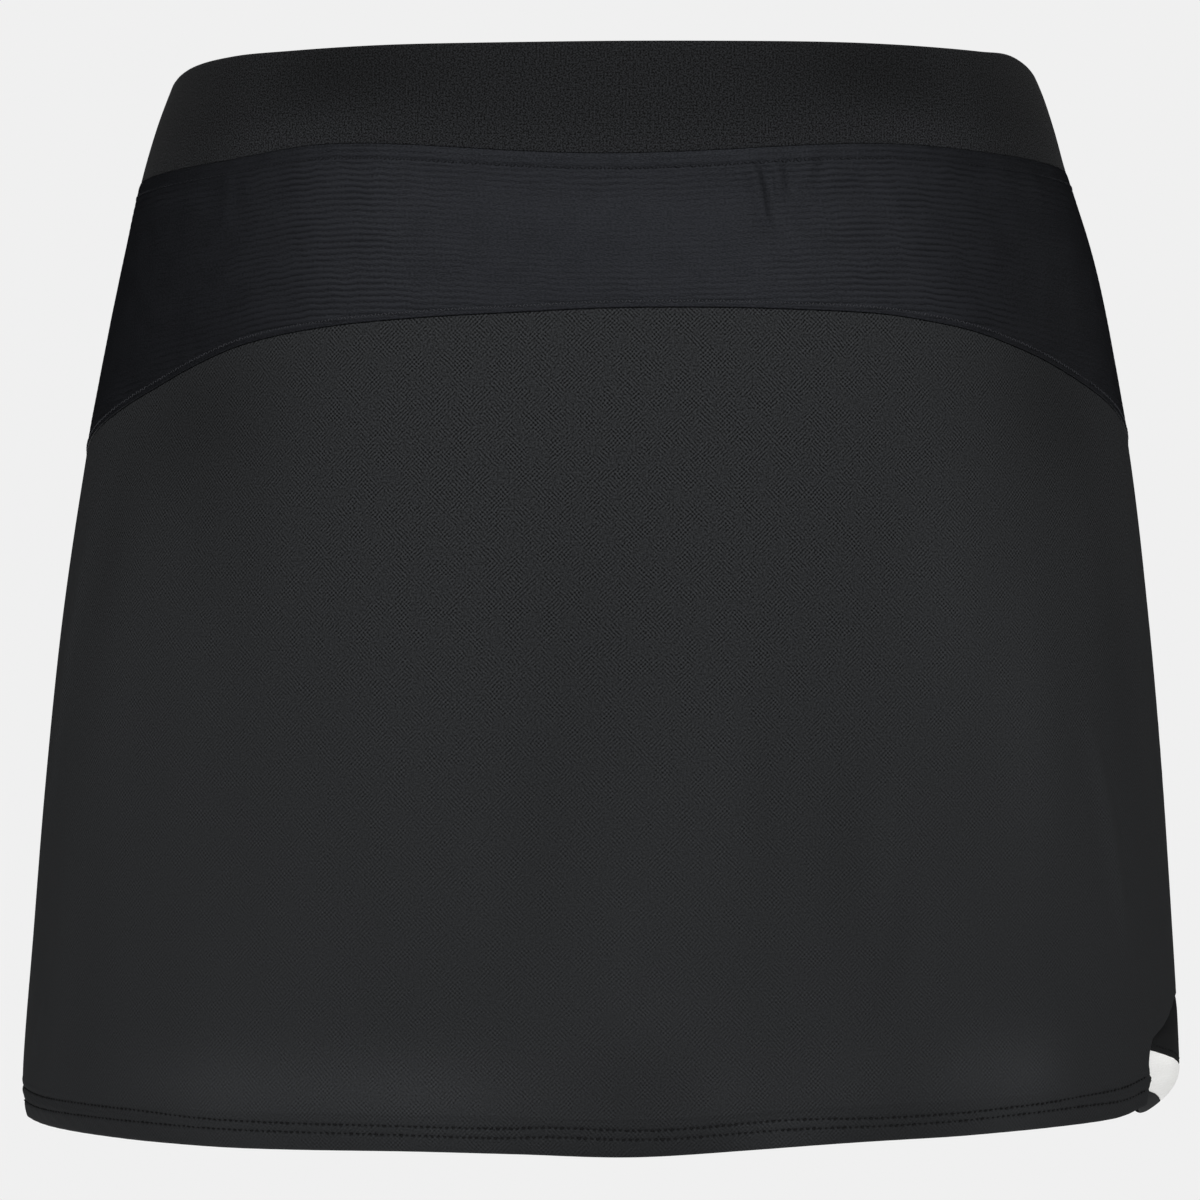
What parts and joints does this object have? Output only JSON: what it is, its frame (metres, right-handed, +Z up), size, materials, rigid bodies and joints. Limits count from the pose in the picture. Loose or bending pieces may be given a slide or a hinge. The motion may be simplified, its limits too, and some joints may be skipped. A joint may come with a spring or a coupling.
{
  "type": "tennis skort",
  "caption": "Short A-line sports skirt with a ribbed back yoke, a plain waistband, side vents over a light hem band and fitted inner shorts, filled out as worn.",
  "frame": {"origin": "centre of the waist opening, level with the top of the waistband at the centre back", "axes": "+Z up towards the waist, the back of the skort faces -Y, +X is the wearer's right"},
  "size_m": [0.3884, 0.2714, 0.3556],
  "materials": {
    "waistband_jersey": "matt fine jersey",
    "rib_knit": "corded rib with a soft sheen",
    "panel_knit": "smooth fine mesh knit",
    "light_knit": "smooth light knit",
    "shorts_jersey": "matt stretch jersey"
  },
  "bodies": {
    "root": {"waistband_back": "waistband_jersey", "waistband_front": "waistband_jersey", "back_yoke": "rib_knit", "back_panel": "panel_knit", "front_panel": "panel_knit", "front_hem_band": "light_knit", "front_hem_edge": "panel_knit", "shorts_left": "shorts_jersey", "shorts_right": "shorts_jersey"}
  },
  "joints": []
}
